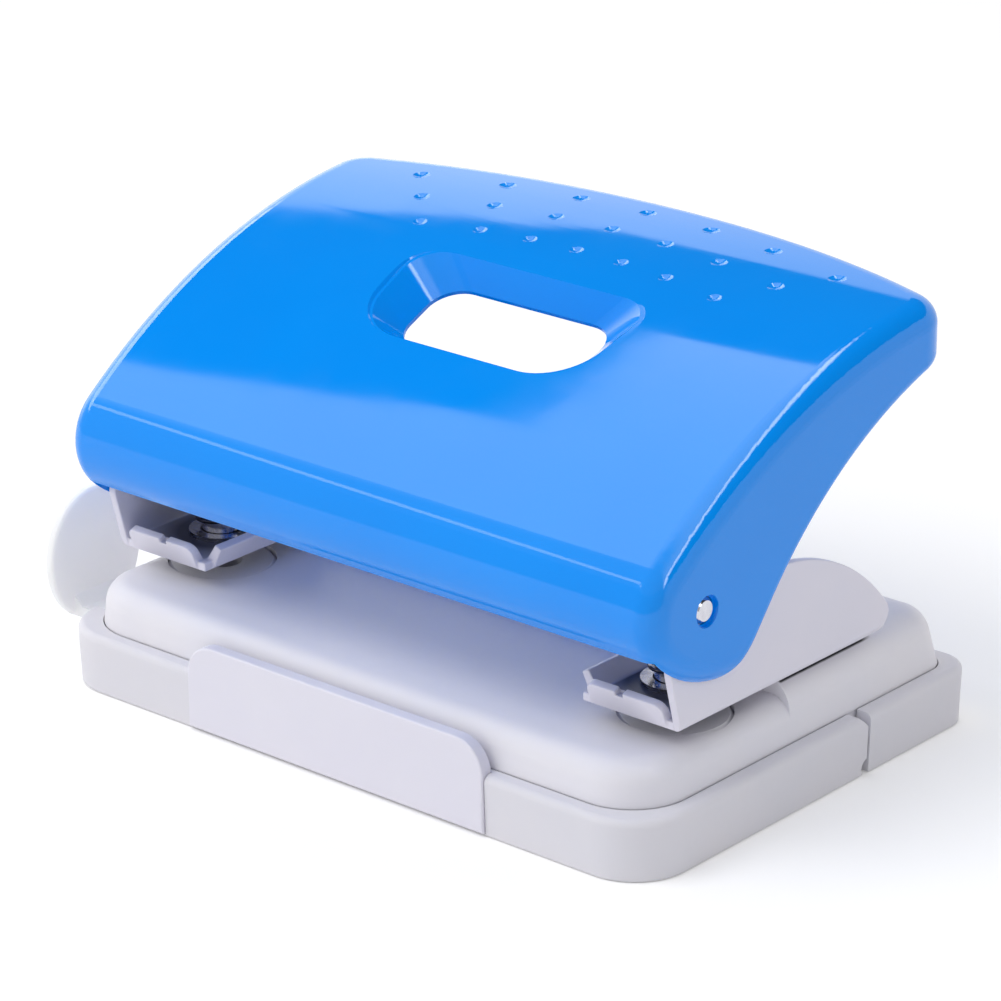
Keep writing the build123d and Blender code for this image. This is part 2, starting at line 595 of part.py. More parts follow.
def front_lip(sign):
    """The flared lip along the bracket's front edge, with its centre mark."""
    lean = math.radians(LIP_LEAN)
    rise = LIP_LENGTH * math.cos(lean)
    reach = LIP_LENGTH * math.sin(lean)
    across_sheet = (SHEET * math.cos(lean), SHEET * math.sin(lean))
    outline = Polyline(
        (BRACKET_FRONT + SHEET, DECK_HEIGHT),
        (BRACKET_FRONT, DECK_HEIGHT),
        (BRACKET_FRONT - reach, DECK_HEIGHT + rise),
        (BRACKET_FRONT - reach + across_sheet[0], DECK_HEIGHT + rise + across_sheet[1]),
        (BRACKET_FRONT + SHEET, PLATE_TOP),
        close=True,
    )
    start, end = mirrored_pair(LIP_INNER_EDGE, LIP_OUTER_EDGE, sign)
    lip = side_section(outline, start, end - start)
    half_way = DECK_HEIGHT + rise / 2
    corners = [edge for edge in lip.edges() if edge.length < SHEET + SEAT_CLEARANCE and edge.center().Z > half_way]
    lip = fillet(corners, LIP_CORNER)
    mark_x = (sign * PUNCH_X - LIP_MARK_WIDTH / 2, sign * PUNCH_X + LIP_MARK_WIDTH / 2)
    top = DECK_HEIGHT + rise + across_sheet[1]
    mark_y = (BRACKET_FRONT - reach - OVERRUN, BRACKET_FRONT)
    return lip - block(mark_x, mark_y, (top - LIP_MARK_DEPTH, top + OVERRUN))


def side_lip(sign):
    """The low flared lip along the bracket's inner edge."""
    lean = math.radians(SIDE_LIP_LEAN)
    rise = SIDE_LIP_LENGTH * math.cos(lean)
    reach = SIDE_LIP_LENGTH * math.sin(lean)
    across_sheet = (SHEET * math.cos(lean), SHEET * math.sin(lean))
    points = [
        (BRACKET_INNER_EDGE + SHEET, DECK_HEIGHT),
        (BRACKET_INNER_EDGE, DECK_HEIGHT),
        (BRACKET_INNER_EDGE - reach, DECK_HEIGHT + rise),
        (BRACKET_INNER_EDGE - reach + across_sheet[0], DECK_HEIGHT + rise + across_sheet[1]),
        (BRACKET_INNER_EDGE + SHEET, PLATE_TOP),
    ]
    front = BRACKET_FRONT + SIDE_LIP_FRONT_CUT
    return front_section([(sign * x, z) for x, z in points], front, STOP_Y - front)


def bracket(sign):
    """A folded bracket: outer wall, floor plate, guide bridge and flared lips."""
    floor_x = mirrored_pair(BRACKET_INNER_EDGE, BRACKET_FACE, sign)
    floor = block(floor_x, (BRACKET_FRONT, BRACKET_REAR - BRACKET_TAIL), (DECK_HEIGHT, PLATE_TOP))
    body = bracket_wall(sign) + floor + front_lip(sign) + side_lip(sign)
    bridge_x = mirrored_pair(PUNCH_X - BRIDGE_REACH, BRACKET_WALL_INNER, sign)
    bridge_y = (PUNCH_Y - BRIDGE_LENGTH / 2, PUNCH_Y + BRIDGE_LENGTH / 2)
    body += block(bridge_x, bridge_y, (BRIDGE_HEIGHT, BRIDGE_HEIGHT + SHEET))
    bend = [
        edge
        for edge in body.edges().filter_by(Axis.Y)
        if abs(abs(edge.center().X) - BRACKET_FACE) < SEAT_CLEARANCE and edge.center().Z < PLATE_TOP
    ]
    body = fillet(bend, BRACKET_BEND)
    x = sign * PUNCH_X
    bore_z = (DECK_HEIGHT - OVERRUN, BRIDGE_HEIGHT + SHEET + OVERRUN)
    body -= upright(PIN_RADIUS + GUIDE_CLEARANCE, x, PUNCH_Y, *bore_z)
    body -= across(AXLE_DIAMETER / 2 + SEAT_CLEARANCE, PIVOT_Y, PIVOT_HEIGHT, -BASE_WIDTH, BASE_WIDTH)
    for y in BRACKET_SCREW_YS:
        hole = SCREW_DIAMETER / 2 + SCREW_CLEARANCE
        body -= upright(hole, sign * BRACKET_SCREW_X, y, DECK_HEIGHT - OVERRUN, PLATE_TOP + OVERRUN)
    return body


def die(sign):
    """A die disc with a sharp hole that widens below."""
    top = TABLE_HEIGHT - DIE_SINK
    disc = upright(DIE_DIAMETER / 2, 0, 0, top - DIE_THICKNESS, top)
    disc = chamfer(disc.edges().group_by(Axis.Z)[-1], DIE_CHAMFER)
    bore = PIN_RADIUS + DIE_CLEARANCE
    disc -= upright(bore, 0, 0, top - DIE_THICKNESS - OVERRUN, top + OVERRUN)
    disc -= upright(bore + DIE_RELIEF, 0, 0, top - DIE_THICKNESS - OVERRUN, top - DIE_LAND)
    return Pos(sign * PUNCH_X, PUNCH_Y, 0) * disc


def punch_pin(sign):
    """A cutter with a dished tip and a groove for its retaining ring."""
    pin = upright(PIN_RADIUS, 0, 0, PIN_TIP, PIN_TOP)
    pin = chamfer(pin.edges().group_by(Axis.Z)[-1], PIN_HEAD_CHAMFER)
    groove = (CLIP_BOTTOM - SEAT_CLEARANCE, CLIP_TOP + SEAT_CLEARANCE)
    ring = upright(PIN_DIAMETER, 0, 0, *groove) - upright(PIN_RADIUS - GROOVE_DEPTH, 0, 0, *groove)
    dish = (PIN_RADIUS**2 + PIN_TIP_DISH**2) / (2 * PIN_TIP_DISH)
    pin = pin - ring - across(dish, 0, PIN_TIP + PIN_TIP_DISH - dish, -PIN_DIAMETER, PIN_DIAMETER)
    return Pos(sign * PUNCH_X, PUNCH_Y, 0) * pin


def split_ring(inner, outer, thickness, mouth):
    """A flat retaining ring about Z, open towards -Y."""
    ring = upright(outer, 0, 0, 0, thickness) - upright(inner, 0, 0, -OVERRUN, thickness + OVERRUN)
    return ring - block((-mouth / 2, mouth / 2), (-outer - OVERRUN, 0), (-OVERRUN, thickness + OVERRUN))


def clip(sign):
    inner = PIN_RADIUS - GROOVE_DEPTH + SEAT_CLEARANCE
    ring = split_ring(inner, CLIP_DIAMETER / 2, CLIP_THICKNESS, CLIP_MOUTH)
    return Pos(sign * PUNCH_X, PUNCH_Y, CLIP_BOTTOM) * ring


def spring_washer(sign):
    bore = PIN_RADIUS + WASHER_PLAY
    disc = upright(WASHER_DIAMETER / 2, 0, 0, PLATE_TOP, SPRING_SEAT)
    disc -= upright(bore, 0, 0, PLATE_TOP - OVERRUN, SPRING_SEAT + OVERRUN)
    return Pos(sign * PUNCH_X, PUNCH_Y, 0) * disc


def biarc(start, start_way, end, end_way):
    """Two arcs in space that leave start and reach end along given directions."""
    chord = end - start
    ways = start_way + end_way
    spread = 2 * (1 - start_way.dot(end_way))
    along = chord.dot(ways)
    reach = (math.sqrt(along**2 + spread * chord.dot(chord)) - along) / spread
    joint = (start + start_way * reach + end - end_way * reach) * 0.5
    first = TangentArc(start, joint, tangent=start_way)
    second = TangentArc(joint, end, tangent=first % 1)
    return [first, second]


def spring_path(low, high):
    """A helix of quarter turns between two heights, with a short straight run at each end."""
    radius = COIL_DIAMETER / 2
    quarters = round(COIL_TURNS * 4)
    climb = (high - low) / quarters
    slope = climb / (math.pi / 2)
    points = []
    ways = []
    for index in range(quarters + 1):
        turn = index * math.pi / 2
        points.append(Vector(radius * math.cos(turn), radius * math.sin(turn), low + climb * index))
        rise = 0 if index in (0, quarters) else slope
        ways.append(Vector(-radius * math.sin(turn), radius * math.cos(turn), rise).normalized())
    edges = [Line(points[0] - ways[0] * WIRE_DIAMETER, points[0])]
    for index in range(quarters):
        edges += biarc(points[index], ways[index], points[index + 1], ways[index + 1])
    edges.append(Line(points[-1], points[-1] + ways[-1] * WIRE_DIAMETER))
    return Wire(edges)


def least_turn_gap(path):
    """The smallest clear distance between neighbouring turns, measured on points of the path."""
    samples = 48
    count = round(COIL_TURNS * samples)
    points = [path @ (index / count) for index in range(count + 1)]
    apart = samples // 2
    least = min(
        (points[first] - points[second]).length
        for first in range(count + 1)
        for second in range(first + apart, count + 1)
    )
    return least - WIRE_DIAMETER


def spring(sign):
    """A wound return spring between its washer and the retaining ring."""
    low = SPRING_SEAT + WIRE_DIAMETER / 2 + SEAT_CLEARANCE
    high = CLIP_BOTTOM - WIRE_DIAMETER / 2 - SEAT_CLEARANCE
    path = spring_path(low, high)
    print("spring: least gap between turns", round(least_turn_gap(path), 3), "mm")
    start = Plane(origin=path @ 0, z_dir=path % 0)
    wire = sweep(start * Circle(WIRE_DIAMETER / 2), path=path)
    expected = math.pi * WIRE_DIAMETER**2 / 4 * path.length
    print("spring: volume over section times length", round(wire.volume / expected, 4))
    return Pos(sign * PUNCH_X, PUNCH_Y, 0) * wire


def axle():
    """The pivot rod through both brackets and the handle's end walls."""
    end = handle_half(PIVOT_Y) - AXLE_SINK
    rod = across(AXLE_DIAMETER / 2, PIVOT_Y, PIVOT_HEIGHT, -end, end)
    rod = chamfer(rod.edges().filter_by(GeomType.CIRCLE), AXLE_CHAMFER)
    for sign in SIDES.values():
        low, high = mirrored_pair(*ring_span(), sign)
        wide = across(AXLE_DIAMETER, PIVOT_Y, PIVOT_HEIGHT, low - SEAT_CLEARANCE, high + SEAT_CLEARANCE)
        core = AXLE_DIAMETER / 2 - GROOVE_DEPTH
        rod -= wide - across(core, PIVOT_Y, PIVOT_HEIGHT, low - SEAT_CLEARANCE, high + SEAT_CLEARANCE)
    return rod


def ring_span():
    """The X places of an axle ring, against the bracket's inner face."""
    high = BRACKET_WALL_INNER - AXLE_RING_GAP
    return (high - AXLE_RING_THICKNESS, high)


def axle_clips():
    inner = AXLE_DIAMETER / 2 - GROOVE_DEPTH + SEAT_CLEARANCE
    ring = split_ring(inner, AXLE_RING_DIAMETER / 2, AXLE_RING_THICKNESS, AXLE_RING_MOUTH)
    rings = []
    for sign in SIDES.values():
        low, _ = mirrored_pair(*ring_span(), sign)
        rings.append(Pos(low, PIVOT_Y, PIVOT_HEIGHT) * Rot(0, 90, 0) * ring)
    return Compound(children=rings)


def handle_crest():
    """The top arc's centre, set so that the arc runs smoothly into the front bend."""
    rise = HANDLE_NOSE_HEIGHT - HANDLE_ARC_Z
    run = math.sqrt((HANDLE_ARC_RADIUS - HANDLE_NOSE_RADIUS) ** 2 - rise**2)
    return (HANDLE_TIP_Y + HANDLE_NOSE_RADIUS + run, HANDLE_ARC_Z)


def handle_nose():
    """The front bend's centre, and the angle at which it meets the top arc."""
    crest = handle_crest()
    centre = (HANDLE_TIP_Y + HANDLE_NOSE_RADIUS, HANDLE_NOSE_HEIGHT)
    meet = math.degrees(math.atan2(centre[1] - crest[1], centre[0] - crest[0]))
    return centre, meet


def crest_angle(radius, y):
    """The angle on the top arc, of a given radius, at a Y place."""
    return math.degrees(math.acos((y - handle_crest()[0]) / radius))


def top_edges(inset, rear):
    """The top arc, the front bend and the tucked-under front edge, set in by a wall."""
    centre, meet = handle_nose()
    arc_radius = HANDLE_ARC_RADIUS - inset
    tuck = 180 + HANDLE_NOSE_TUCK
    top = round_arc(handle_crest(), arc_radius, crest_angle(arc_radius, rear), meet)
    nose = round_arc(centre, HANDLE_NOSE_RADIUS - inset, meet, tuck)
    heading = math.radians(HANDLE_NOSE_TUCK)
    way = (math.cos(heading), -math.sin(heading))
    under = TangentArc(nose @ 1, (HANDLE_LOBE_Y, HANDLE_LOBE_HEIGHT + inset), tangent=way)
    return [top, nose, under]


def handle_profile(rear):
    """The handle's outline from the side, carried straight on past its rear edge."""
    edges = top_edges(0, rear)
    under = edges[-1]
    under_way = under % 1
    lobe_heading = math.degrees(math.atan2(under_way.Y, under_way.X)) + HANDLE_LOBE_KICK
    chord = polar((0, 0), HANDLE_LOBE_CHORD, (lobe_heading + HANDLE_EDGE_SLOPE) / 2)
    lobe = TangentArc(under @ 1, (under @ 1) + Vector(*chord), tangent=polar((0, 0), 1, lobe_heading))
    run = Vector(*polar((0, 0), HANDLE_EDGE_RUN, HANDLE_EDGE_SLOPE))
    straight = Line(lobe @ 1, (lobe @ 1) + run)
    rear_low = (rear, HANDLE_TOP_HEIGHT - HANDLE_REAR_DROP)
    sweep_up = TangentArc(straight @ 1, rear_low, tangent=straight % 1)
    return make_face(edges + [lobe, straight, sweep_up, Line(rear_low, edges[0] @ 0)])


def handle_half(y):
    """Half of the handle's width at a Y place; the ends spread a little towards the rear."""
    share = (y - FRONT_Y) / (HANDLE_REAR_Y - FRONT_Y)
    return HANDLE_FRONT_HALF + (HANDLE_REAR_HALF - HANDLE_FRONT_HALF) * share


def handle_plan(end_inset, rear_inset):
    """The handle from above: straight ends, a bowed rear edge and rounded rear corners."""
    radius = HANDLE_REAR_RADIUS - rear_inset
    middle = HANDLE_REAR_Y - HANDLE_REAR_RADIUS
    front_y = FRONT_Y - OVERRUN
    rear_y = HANDLE_REAR_Y + OVERRUN
    front = handle_half(front_y) - end_inset
    rear = handle_half(rear_y) - end_inset
    corners = [(-front, front_y), (front, front_y), (rear, rear_y), (-rear, rear_y)]
    ends = make_face(Polyline(*corners, close=True))
    face = ends & Pos(0, middle) * Circle(radius)
    corners = face.vertices().group_by(Axis.Y)[-1]
    return fillet(corners, HANDLE_REAR_CORNER - rear_inset)


def handle_cavity():
    """The space inside the handle's walls, open below."""
    rear = HANDLE_REAR_Y + OVERRUN
    edges = top_edges(HANDLE_WALL, rear)
    lip = edges[-1] @ 1
    start = edges[0] @ 0
    legs = Polyline((lip.X, lip.Y), (start.X, lip.Y), (start.X, start.Y))
    body = side_section(edges + [legs], -BASE_WIDTH, 2 * BASE_WIDTH)
    body += block((-BASE_WIDTH, BASE_WIDTH), (FRONT_Y - OVERRUN, start.X), (0, HANDLE_LIP_HEIGHT))
    return body & extrude(handle_plan(HANDLE_END_WALL, HANDLE_WALL), amount=HANDLE_TOP_HEIGHT, dir=(0, 0, 1))


def handle_blank():
    """The handle's outside, with its upper edges and the lower edge of its walls rounded."""
    rear = HANDLE_REAR_Y + OVERRUN
    body = across_extrude(handle_profile(rear), -BASE_WIDTH, 2 * BASE_WIDTH)
    body = body & extrude(handle_plan(0, 0), amount=HANDLE_TOP_HEIGHT + OVERRUN, dir=(0, 0, 1))
    body = fillet(handle_rim(body), HANDLE_EDGE_ROUND)
    rear_wall = body.faces().sort_by(Axis.Y)[-1]
    return fillet(rear_wall.edges().sort_by(Axis.Z)[0], HANDLE_HEM_ROUND)


def handle_rim(body):
    """The edges that bound the top, front bend and tucked-under front of the handle."""
    centre, _ = handle_nose()
    crest = handle_crest()
    rim = []
    for edge in body.edges():
        middle = edge @ 0.5
        from_crest = math.hypot(middle.Y - crest[0], middle.Z - crest[1])
        from_nose = math.hypot(middle.Y - centre[0], middle.Z - centre[1])
        on_top = abs(from_crest - HANDLE_ARC_RADIUS) < SEAT_CLEARANCE
        on_nose = abs(from_nose - HANDLE_NOSE_RADIUS) < SEAT_CLEARANCE
        below = middle.Y < HANDLE_LOBE_Y and middle.Z < HANDLE_NOSE_HEIGHT
        at_end = abs(abs(middle.X) - handle_half(middle.Y)) < SEAT_CLEARANCE
        behind = middle.Y > STOP_Y
        if (on_top and (at_end or behind)) or (at_end and (on_nose or below)):
            rim.append(edge)
    return rim


def window_plane(sink):
    """A plane on the handle's slope at the window, sunk along its normal."""
    angle = math.radians(crest_angle(HANDLE_ARC_RADIUS, WINDOW_Y))
    normal = Vector(0, math.cos(angle), math.sin(angle))
    crest = handle_crest()
    origin = Vector(0, crest[0], crest[1]) + normal * (HANDLE_ARC_RADIUS - sink)
    return Plane(origin=origin, x_dir=(1, 0, 0), z_dir=normal)


def window_outline(front_half, rear_half, front, back, front_corner, rear_corner, grow):
    """A rounded four-sided opening, grown all round."""
    low = -front - grow
    high = back + grow
    shape = Polyline(
        (-front_half - grow, low),
        (front_half + grow, low),
        (rear_half + grow, high),
        (-rear_half - grow, high),
        close=True,
    )
    face = make_face(shape)
    face = fillet(face.vertices().group_by(Axis.Y)[0], front_corner + grow)
    return fillet(face.vertices().group_by(Axis.Y)[-1], rear_corner + grow)


def window_rim(grow):
    corners = (WINDOW_FRONT_CORNER, WINDOW_REAR_CORNER)
    return window_outline(WINDOW_FRONT_HALF, WINDOW_REAR_HALF, WINDOW_FRONT, WINDOW_BACK, *corners, grow)


def window_mouth(grow):
    return window_outline(
        FUNNEL_FRONT_HALF, FUNNEL_REAR_HALF, FUNNEL_FRONT, FUNNEL_BACK, FUNNEL_CORNER, FUNNEL_CORNER, grow
    )


def window_funnel():
    """The sloping walls of the window, as a solid ring under the top."""
    upper = window_plane(HANDLE_WALL / 2) * window_rim(0)
    lower = window_plane(FUNNEL_DEPTH + FUNNEL_SKIRT) * window_mouth(FUNNEL_WALL)
    return loft([upper.face(), lower.face()], ruled=True)


def window_cut():
    """What is taken out for the window: a funnel and the opening below it."""
    upper = window_plane(0) * window_rim(0)
    lower = window_plane(FUNNEL_DEPTH) * window_mouth(0)
    cut = loft([upper.face(), lower.face()], ruled=True)
    cut += extrude(upper, amount=OVERRUN)
    bevel = [window_plane(sink) * window_rim(WINDOW_BEVEL - sink) for sink in (0, WINDOW_BEVEL)]
    cut += loft([face.face() for face in bevel], ruled=True)
    return cut + extrude(lower, amount=-FUNNEL_SKIRT - OVERRUN)


def press_rib(sign):
    """The round-nosed rib that pushes a cutter down."""
    y = PUNCH_Y
    z = PIVOT_HEIGHT + RIB_RISE
    x = (sign * PUNCH_X - RIB_LENGTH / 2, sign * PUNCH_X + RIB_LENGTH / 2)
    arc_radius = HANDLE_ARC_RADIUS - HANDLE_WALL / 2
    ceiling = polar(handle_crest(), arc_radius, crest_angle(arc_radius, y))[1]
    web = block(x, (y - RIB_WEB / 2, y + RIB_WEB / 2), (z, ceiling))
    return web + across(RIB_RADIUS, y, z, *x)


def dimples():
    """Shallow round dents in bowed rows on the handle's top."""
    dents = []
    for setback, spread, diameter in zip(DIMPLE_SETBACKS, DIMPLE_SPREADS, DIMPLE_DIAMETERS):
        ball = ((diameter / 2) ** 2 + DIMPLE_DEPTH**2) / (2 * DIMPLE_DEPTH)
        for x in [0, *spread, *(-place for place in spread)]:
            y = FRONT_Y + setback - DIMPLE_BOW + math.sqrt(DIMPLE_BOW**2 - x**2)
            angle = crest_angle(HANDLE_ARC_RADIUS, y)
            place = polar(handle_crest(), HANDLE_ARC_RADIUS + ball - DIMPLE_DEPTH, angle)
            dents.append(Pos(x, *place) * Sphere(ball))
    return dents


def handle_shell():
    """The lever: a hollow moulding with press ribs, grip window, dimples and axle holes."""
    shell = handle_blank() - handle_cavity()
    shell += window_funnel()
    shell -= window_cut()
    for sign in SIDES.values():
        shell += press_rib(sign)
        half = handle_half(PIVOT_Y)
        wall = mirrored_pair(half - AXLE_COUNTERBORE_DEPTH, half + OVERRUN, sign)
        shell -= across(AXLE_COUNTERBORE_DIAMETER / 2, PIVOT_Y, PIVOT_HEIGHT, *wall)
    bore = AXLE_DIAMETER / 2 + AXLE_CLEARANCE
    shell -= across(bore, PIVOT_Y, PIVOT_HEIGHT, -BASE_WIDTH, BASE_WIDTH)
    for dent in dimples():
        shell -= dent
    return shell


def paper_guide():
    """A flat bar that slides in the base, turned up at its end into a rounded paddle."""
    y = (GUIDE_BAR_Y, GUIDE_BAR_BACK)
    bar_x = (-GUIDE_FACE - PADDLE_THICKNESS, GUIDE_BAR_END)
    bar = block(bar_x, y, (GUIDE_BAR_BOTTOM, GUIDE_BAR_TOP))
    oval = Pos(PADDLE_CENTRE_Y, PADDLE_CENTRE_Z) * Ellipse(PADDLE_HALF_WIDTH, PADDLE_HALF_HEIGHT)
    paddle = across_extrude(oval.face(), bar_x[0], PADDLE_THICKNESS)
    paddle = fillet(paddle.faces().filter_by(Axis.X).edges(), PADDLE_ROUND)
    below = (-BASE_WIDTH, 0), (-BASE_DEPTH, BASE_DEPTH), (-BASE_DEPTH, GUIDE_BAR_BOTTOM)
    paddle -= block(*below)
    gusset = [
        (-GUIDE_FACE, GUIDE_BAR_TOP + GUIDE_BEND / 2),
        (-GUIDE_FACE, GUIDE_BAR_TOP),
        (-GUIDE_FACE + GUIDE_BEND / 2, GUIDE_BAR_TOP),
    ]
    return bar + paddle + front_section(gusset, y[0], GUIDE_BAR_WIDTH)


def sub_parts():
    """Every piece of the punch by its name."""
    parts = {
        "base_body": base_body(),
        "tray_rear": tray_rear(),
        "tray_flap": tray_flap(),
        "front_tab": front_tab(),
        "paper_guide": paper_guide(),
        "guide_keepers": guide_keepers(),
        "keeper_screws": keeper_screws(),
        "tray_screws": tray_screws(),
        "bracket_screws": bracket_screws(),
        "axle": axle(),
        "axle_clips": axle_clips(),
        "handle_shell": handle_shell(),
    }
    for side, sign in SIDES.items():
        parts[side + "_bracket"] = bracket(sign)
        parts[side + "_die"] = die(sign)
        parts[side + "_punch_pin"] = punch_pin(sign)
        parts[side + "_clip"] = clip(sign)
        parts[side + "_spring_washer"] = spring_washer(sign)
        parts[side + "_spring"] = spring(sign)
    return parts


os.makedirs("parts", exist_ok=True)
for name, shape in sub_parts().items():
    export_step(shape, "parts/" + name + ".step")
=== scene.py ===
import math

import bpy
from mathutils import Matrix, Vector


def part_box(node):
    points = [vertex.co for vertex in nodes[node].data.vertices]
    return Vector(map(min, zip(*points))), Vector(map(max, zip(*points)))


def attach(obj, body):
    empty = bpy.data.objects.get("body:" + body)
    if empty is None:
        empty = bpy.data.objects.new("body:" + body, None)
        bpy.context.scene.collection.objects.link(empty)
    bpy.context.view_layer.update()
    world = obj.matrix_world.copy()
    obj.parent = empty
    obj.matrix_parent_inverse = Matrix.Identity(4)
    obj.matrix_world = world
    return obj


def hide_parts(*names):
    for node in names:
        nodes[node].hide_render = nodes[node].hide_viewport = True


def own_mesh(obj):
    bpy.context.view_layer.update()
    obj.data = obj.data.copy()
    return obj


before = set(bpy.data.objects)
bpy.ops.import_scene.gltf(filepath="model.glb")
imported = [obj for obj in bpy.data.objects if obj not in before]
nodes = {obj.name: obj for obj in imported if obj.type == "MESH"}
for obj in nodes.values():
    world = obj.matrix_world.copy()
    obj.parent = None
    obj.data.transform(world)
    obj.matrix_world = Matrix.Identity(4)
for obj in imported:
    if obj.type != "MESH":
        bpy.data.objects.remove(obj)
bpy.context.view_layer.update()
scene = bpy.context.scene
scene.view_settings.view_transform = "Standard"

MM = 0.001


# ---------------------------------------------------------------- colours and materials

def linear(red, green, blue):
    """A colour given in display values from 0 to 255, as Blender stores it."""
    values = []
    for value in (red, green, blue):
        share = value / 255
        values.append(share / 12.92 if share <= 0.04045 else ((share + 0.055) / 1.055) ** 2.4)
    return (*values, 1.0)


# Where the cutters stand, where shade is painted inside the brackets, and where a shadow is painted on the
# deck under them
pin_low, pin_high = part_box("right_punch_pin")
CUTTER_X = (pin_low[0] + pin_high[0]) / 2
CUTTER_Y = (pin_low[1] + pin_high[1]) / 2
# Painted shade inside the brackets, darkest round the cutters
BRACKET_INSIDE_SHADE_COLOUR = linear(62, 64, 82)
BRACKET_INSIDE_SHADE_REACH = (6.0 * MM, 12.0 * MM)
BRACKET_INSIDE_SHADE_INNER_EDGE = (34.2 * MM, 34.8 * MM)
BRACKET_INSIDE_SHADE_OUTER_EDGE = (47.6 * MM, 48.2 * MM)
# Painted shadow on the deck, in the gap under the brackets' side plates
UNDER_BRACKET_SHADOW_COLOUR = linear(30, 30, 36)
UNDER_BRACKET_SHADOW_INNER_EDGE = (33.4 * MM, 33.8 * MM)
UNDER_BRACKET_SHADOW_OUTER_EDGE = (47.1 * MM, 47.3 * MM)
UNDER_BRACKET_SHADOW_FRONT = (-1.8 * MM, -1.4 * MM)
UNDER_BRACKET_SHADOW_REAR = (16.0 * MM, 18.0 * MM)
UNDER_BRACKET_SHADOW_LOW = (14.6 * MM, 14.9 * MM)

# Skins: noise scales are features a metre, spreads are shares of the roughness
NOISE_SPAN = (0.35, 0.65)
SKIN_HEIGHT = 0.02 * MM
GLOSS_IOR = 1.48
GLOSS_DRIFT = 45.0
GLOSS_SMEAR = 160.0
GLOSS_PEEL = 260.0
GLOSS_PEEL_STRENGTH = 0.05
GLOSS_SPREAD = (0.8, 1.3)
MILKY_IOR = 1.46
MILKY_RADIUS = (1.0, 0.95, 1.0)
MILKY_WEIGHT = 0.25
MILKY_DRIFT = 60.0
MILKY_SMEAR = 900.0
MILKY_GRAIN = 2600.0
MILKY_GRAIN_STRENGTH = 0.12
MILKY_SPREAD = (0.85, 1.15)
PAINT_IOR = 1.5
PAINT_DRIFT = 90.0
PAINT_SMEAR = 700.0
PAINT_PEBBLE = 1500.0
PAINT_PEBBLE_STRENGTH = 0.03
PAINT_SPREAD = (0.96, 1.05)
METAL_GRAIN = 700.0
METAL_GRAIN_STRENGTH = 0.08
METAL_GRAIN_HEIGHT = 0.01 * MM
METAL_SPREAD = (0.8, 1.3)


